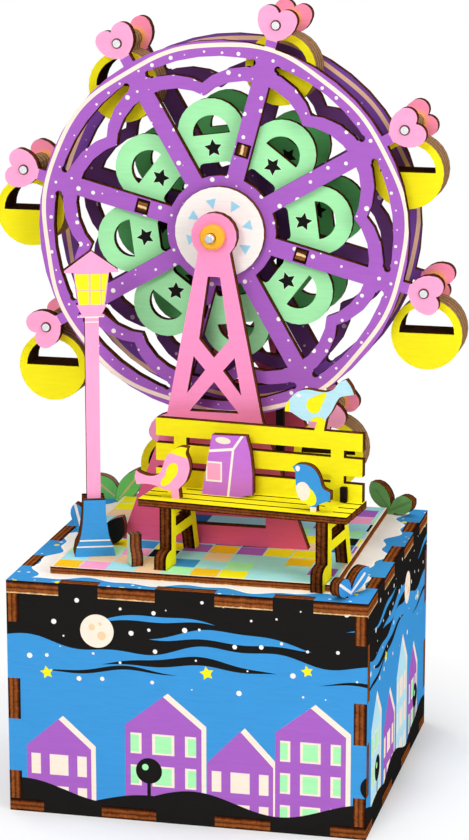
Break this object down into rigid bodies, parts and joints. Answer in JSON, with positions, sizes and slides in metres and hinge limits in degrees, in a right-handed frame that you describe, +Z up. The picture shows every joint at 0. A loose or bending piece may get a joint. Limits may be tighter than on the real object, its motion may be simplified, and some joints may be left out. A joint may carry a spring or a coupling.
{
  "type": "ferris wheel music box puzzle",
  "caption": "Laser-cut wooden ferris wheel on a music box base: a crank at the back turns the wheel by a belt and a pinned cylinder by gears, with a bench, birds and a street lamp",
  "frame": {"origin": "bottom centre of the bounding box: X and Y are zero at the middle of the wheel's axle, Z is zero at the box's underside", "axes": "+Z up, -Y towards the front face with the bench, +X to the right seen from the front; the wheel's axle runs along Y"},
  "size_m": [0.1312, 0.1194, 0.2141],
  "materials": {
    "bare_ply": "bare laser-cut plywood with burnt edges",
    "night_print": "plywood printed with a night scene, satin",
    "lid_print": "plywood printed off-white with a wavy blue border, satin",
    "tile_print": "thin plywood printed with small coloured tiles",
    "purple_print": "plywood printed purple, burnt edges",
    "mint_print": "thin plywood printed mint green",
    "green_print": "thin plywood printed dark green",
    "white_print": "plywood printed white with pale blue triangles",
    "tower_print": "plywood printed pink, darker towards the foot",
    "pink_print": "plywood printed pink",
    "yellow_print": "plywood printed yellow, layered brown edges",
    "blue_print": "plywood printed blue",
    "pale_blue_print": "plywood printed pale blue",
    "bag_print": "plywood printed purple with a pink pocket",
    "leaf_print": "plywood printed leaf green",
    "orange_wood": "turned wood painted orange",
    "steel": "bright drawn steel",
    "brass": "stamped and turned brass",
    "gear_plastic": "moulded white plastic",
    "belt_rubber": "matt black rubber cord"
  },
  "bodies": {
    "stand": {"base_plate": "bare_ply", "front_panel": "night_print", "back_panel": "night_print", "left_panel": "night_print", "right_panel": "night_print", "top_plate": "lid_print", "platform": "tile_print", "movement_frame": "brass", "music_comb": "steel", "drive_belt": "belt_rubber", "front_tower": "tower_print", "rear_tower": "tower_print", "bench_seat": "yellow_print", "bench_back": "yellow_print", "bench_leg_left": "yellow_print", "bench_leg_right": "yellow_print", "street_lamp": "pink_print", "lamp_base": "blue_print", "pink_bird": "pink_print", "school_bag": "bag_print", "blue_bird": "blue_print", "pale_blue_bird": "pale_blue_print", "leaf_sprig_right": "leaf_print", "leaf_sprig_left": "blue_print", "leaf_sprig_front": "blue_print"},
    "wheel": {"wheel_axle": "steel", "axle_washer": "orange_wood", "front_ring": "purple_print", "rear_ring": "purple_print", "front_petal_plate": "mint_print", "rear_petal_plate": "green_print", "hub_disc": "white_print", "wheel_pulley": "bare_ply", "wheel_spacer_1": "bare_ply", "wheel_spacer_2": "bare_ply", "wheel_spacer_3": "bare_ply", "wheel_spacer_4": "bare_ply", "gondola_pin_1": "steel", "gondola_pin_2": "steel", "gondola_pin_3": "steel", "gondola_pin_4": "steel", "gondola_pin_5": "steel", "gondola_pin_6": "steel", "gondola_pin_7": "steel", "gondola_pin_8": "steel"},
    "crank": {"crank_shaft": "steel", "drive_pulley": "bare_ply", "crank_arm": "pink_print", "knob_stem": "steel"},
    "knob": {"crank_knob": "yellow_print"},
    "cylinder": {"pin_cylinder": "brass", "cylinder_gear": "gear_plastic"},
    "gondola_1": {"gondola_1": "yellow_print"},
    "gondola_2": {"gondola_2": "yellow_print"},
    "gondola_3": {"gondola_3": "yellow_print"},
    "gondola_4": {"gondola_4": "yellow_print"},
    "gondola_5": {"gondola_5": "yellow_print"},
    "gondola_6": {"gondola_6": "yellow_print"},
    "gondola_7": {"gondola_7": "yellow_print"},
    "gondola_8": {"gondola_8": "yellow_print"}
  },
  "joints": [
    {"name": "wheel_spin", "type": "hinge", "parent": "stand", "child": "wheel", "pos_m": [0, 0, 0.1529], "axis": [0, 1, 0], "continuous": true},
    {"name": "crank_turn", "type": "hinge", "parent": "stand", "child": "crank", "pos_m": [0, 0.036, 0.034], "axis": [0, 1, 0], "continuous": true},
    {"name": "knob_spin", "type": "hinge", "parent": "crank", "child": "knob", "pos_m": [0, 0.05, 0.012], "axis": [0, 1, 0], "continuous": true},
    {"name": "cylinder_turn", "type": "hinge", "parent": "stand", "child": "cylinder", "pos_m": [-0.01202, 0, 0.0206], "axis": [0, 1, 0], "continuous": true},
    {"name": "gondola_1_swing", "type": "hinge", "parent": "wheel", "child": "gondola_1", "pos_m": [0.05006, 0, 0.1818], "axis": [0, 1, 0], "continuous": true},
    {"name": "gondola_2_swing", "type": "hinge", "parent": "wheel", "child": "gondola_2", "pos_m": [0.01496, 0, 0.20873], "axis": [0, 1, 0], "continuous": true},
    {"name": "gondola_3_swing", "type": "hinge", "parent": "wheel", "child": "gondola_3", "pos_m": [-0.0289, 0, 0.20296], "axis": [0, 1, 0], "continuous": true},
    {"name": "gondola_4_swing", "type": "hinge", "parent": "wheel", "child": "gondola_4", "pos_m": [-0.05583, 0, 0.16786], "axis": [0, 1, 0], "continuous": true},
    {"name": "gondola_5_swing", "type": "hinge", "parent": "wheel", "child": "gondola_5", "pos_m": [-0.05006, 0, 0.124], "axis": [0, 1, 0], "continuous": true},
    {"name": "gondola_6_swing", "type": "hinge", "parent": "wheel", "child": "gondola_6", "pos_m": [-0.01496, 0, 0.09707], "axis": [0, 1, 0], "continuous": true},
    {"name": "gondola_7_swing", "type": "hinge", "parent": "wheel", "child": "gondola_7", "pos_m": [0.0289, 0, 0.10284], "axis": [0, 1, 0], "continuous": true},
    {"name": "gondola_8_swing", "type": "hinge", "parent": "wheel", "child": "gondola_8", "pos_m": [0.05583, 0, 0.13794], "axis": [0, 1, 0], "continuous": true}
  ],
  "couplings": [
    {"joint": "crank_turn", "follows": "wheel_spin", "ratio": 1},
    {"joint": "cylinder_turn", "follows": "wheel_spin", "ratio": -0.5},
    {"joint": "gondola_1_swing", "follows": "wheel_spin", "ratio": -1},
    {"joint": "gondola_2_swing", "follows": "wheel_spin", "ratio": -1},
    {"joint": "gondola_3_swing", "follows": "wheel_spin", "ratio": -1},
    {"joint": "gondola_4_swing", "follows": "wheel_spin", "ratio": -1},
    {"joint": "gondola_5_swing", "follows": "wheel_spin", "ratio": -1},
    {"joint": "gondola_6_swing", "follows": "wheel_spin", "ratio": -1},
    {"joint": "gondola_7_swing", "follows": "wheel_spin", "ratio": -1},
    {"joint": "gondola_8_swing", "follows": "wheel_spin", "ratio": -1}
  ]
}
